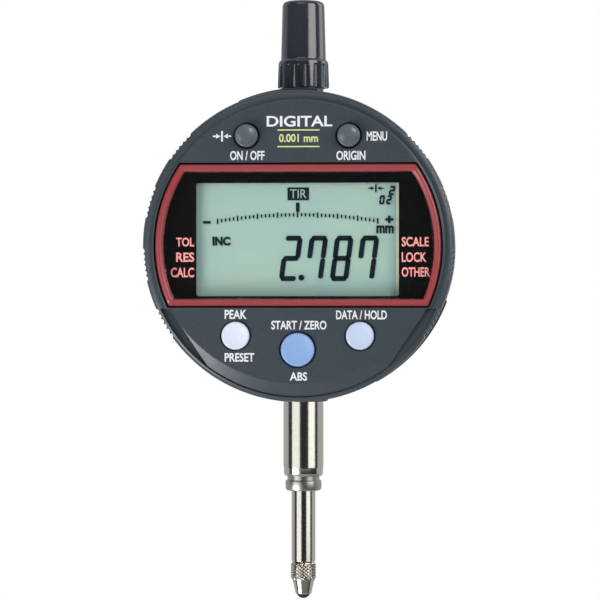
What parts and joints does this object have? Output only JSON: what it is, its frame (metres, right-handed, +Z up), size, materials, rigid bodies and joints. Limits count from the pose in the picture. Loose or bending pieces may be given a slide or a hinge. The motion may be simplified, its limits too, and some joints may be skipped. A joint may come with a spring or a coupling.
{
  "type": "dial indicator",
  "caption": "Digital dial indicator: round turning display with keys, clamping stem, sprung spindle with a knurled contact point, spindle cap and lug back.",
  "frame": {"origin": "on the measuring axis, halfway along the straight clamping length of the stem", "axes": "+Z up along the measuring axis, from the contact point to the spindle cap; the display faces -Y; +X is to the viewer's right"},
  "size_m": [0.0608, 0.0453, 0.1193],
  "materials": {
    "case_plastic": "dark grey glass-filled plastic, fine matt grain",
    "front_plastic": "dark blue-grey plastic, fine matt grain",
    "black_plastic": "black moulded plastic",
    "red_trim": "dull red, satin",
    "black_print": "black print behind the window",
    "clear_window": "clear hard-coated acrylic",
    "lcd_glass": "grey-green liquid crystal panel with dark segments",
    "polished_steel": "hardened, ground and polished",
    "satin_steel": "turned, satin",
    "carbide": "polished tungsten carbide",
    "bush_brass": "turned brass",
    "black_rubber": "black nitrile rubber",
    "silicone": "pale grey silicone rubber",
    "circuit_board": "green solder mask on glass fibre",
    "amber_film": "amber polyimide film",
    "scale_glass": "glass scale with printed graduations",
    "grey_key": "slate grey, matt",
    "white_key": "off-white with a lavender tint, matt",
    "blue_key": "mid blue, matt",
    "pale_blue_key": "pale blue, matt"
  },
  "bodies": {
    "case": {"case_housing": "case_plastic", "stem": "polished_steel", "lower_bush": "bush_brass", "stem_nut": "satin_steel", "spindle_wiper": "black_rubber", "upper_bush": "bush_brass", "stop_bumper": "black_rubber", "return_spring": "polished_steel", "guide_rail": "satin_steel", "sensor_board": "circuit_board", "sensor_chip": "black_plastic", "sensor_screw_1": "satin_steel", "sensor_screw_2": "satin_steel", "data_socket": "black_plastic", "data_pins": "bush_brass", "battery_contact_negative": "bush_brass", "battery_contact_positive": "bush_brass", "back_gasket": "black_rubber", "lug_back": "case_plastic", "back_screw_1": "polished_steel", "back_screw_2": "polished_steel", "back_screw_3": "polished_steel", "back_screw_4": "polished_steel", "display_seal": "black_rubber", "retaining_ring": "polished_steel", "flex_ribbon": "amber_film"},
    "display": {"bezel": "front_plastic", "window_frame": "red_trim", "window_lens": "clear_window", "window_mask": "black_print", "lcd_panel": "lcd_glass", "lcd_holder": "black_plastic", "lcd_connector_upper": "black_rubber", "lcd_connector_lower": "black_rubber", "keypad_upper": "silicone", "keypad_lower": "silicone", "display_board": "circuit_board", "display_back": "front_plastic", "display_screw_1": "satin_steel", "display_screw_2": "satin_steel", "display_screw_3": "satin_steel", "display_screw_4": "satin_steel"},
    "spindle": {"spindle": "polished_steel", "contact_point": "satin_steel", "contact_ball": "carbide", "stop_collar": "satin_steel", "scale_carrier": "satin_steel", "scale_strip": "scale_glass", "guide_pin": "polished_steel", "carrier_screw": "satin_steel"},
    "tray": {"battery_tray": "case_plastic", "battery_cell": "polished_steel"},
    "cap": {"spindle_cap": "front_plastic"},
    "socket_cover": {"data_cap": "black_rubber"},
    "power_button": {"power_button": "grey_key"},
    "origin_button": {"origin_button": "grey_key"},
    "peak_button": {"peak_button": "white_key"},
    "zero_button": {"zero_button": "blue_key"},
    "data_button": {"data_button": "pale_blue_key"}
  },
  "joints": [
    {"name": "spindle_slide", "type": "slide", "parent": "case", "child": "spindle", "axis": [0, 0, 1], "range_m": [0, 0.0127], "stiffness_N_per_m": 40, "springref_m": -0.025, "deforming": ["return_spring"]},
    {"name": "display_turn", "type": "hinge", "parent": "case", "child": "display", "pos_m": [0, -0.012, 0.0375], "axis": [0, 1, 0], "range_deg": [-165, 165]},
    {"name": "tray_pull", "type": "slide", "parent": "case", "child": "tray", "axis": [0.7547, 0, -0.6561], "range_m": [0, 0.024]},
    {"name": "cap_lift", "type": "slide", "parent": "case", "child": "cap", "axis": [0, 0, 1], "range_m": [0, 0.014]},
    {"name": "socket_cover_pull", "type": "slide", "parent": "case", "child": "socket_cover", "axis": [-0.7547, 0, -0.6561], "range_m": [0, 0.006]},
    {"name": "power_press", "type": "slide", "parent": "display", "child": "power_button", "axis": [0, 1, 0], "range_m": [0, 0.0006], "stiffness_N_per_m": 800, "springref_m": -0.0004},
    {"name": "origin_press", "type": "slide", "parent": "display", "child": "origin_button", "axis": [0, 1, 0], "range_m": [0, 0.0006], "stiffness_N_per_m": 800, "springref_m": -0.0004},
    {"name": "peak_press", "type": "slide", "parent": "display", "child": "peak_button", "axis": [0, 1, 0], "range_m": [0, 0.0006], "stiffness_N_per_m": 800, "springref_m": -0.0004},
    {"name": "zero_press", "type": "slide", "parent": "display", "child": "zero_button", "axis": [0, 1, 0], "range_m": [0, 0.0006], "stiffness_N_per_m": 800, "springref_m": -0.0004},
    {"name": "data_press", "type": "slide", "parent": "display", "child": "data_button", "axis": [0, 1, 0], "range_m": [0, 0.0006], "stiffness_N_per_m": 800, "springref_m": -0.0004}
  ]
}
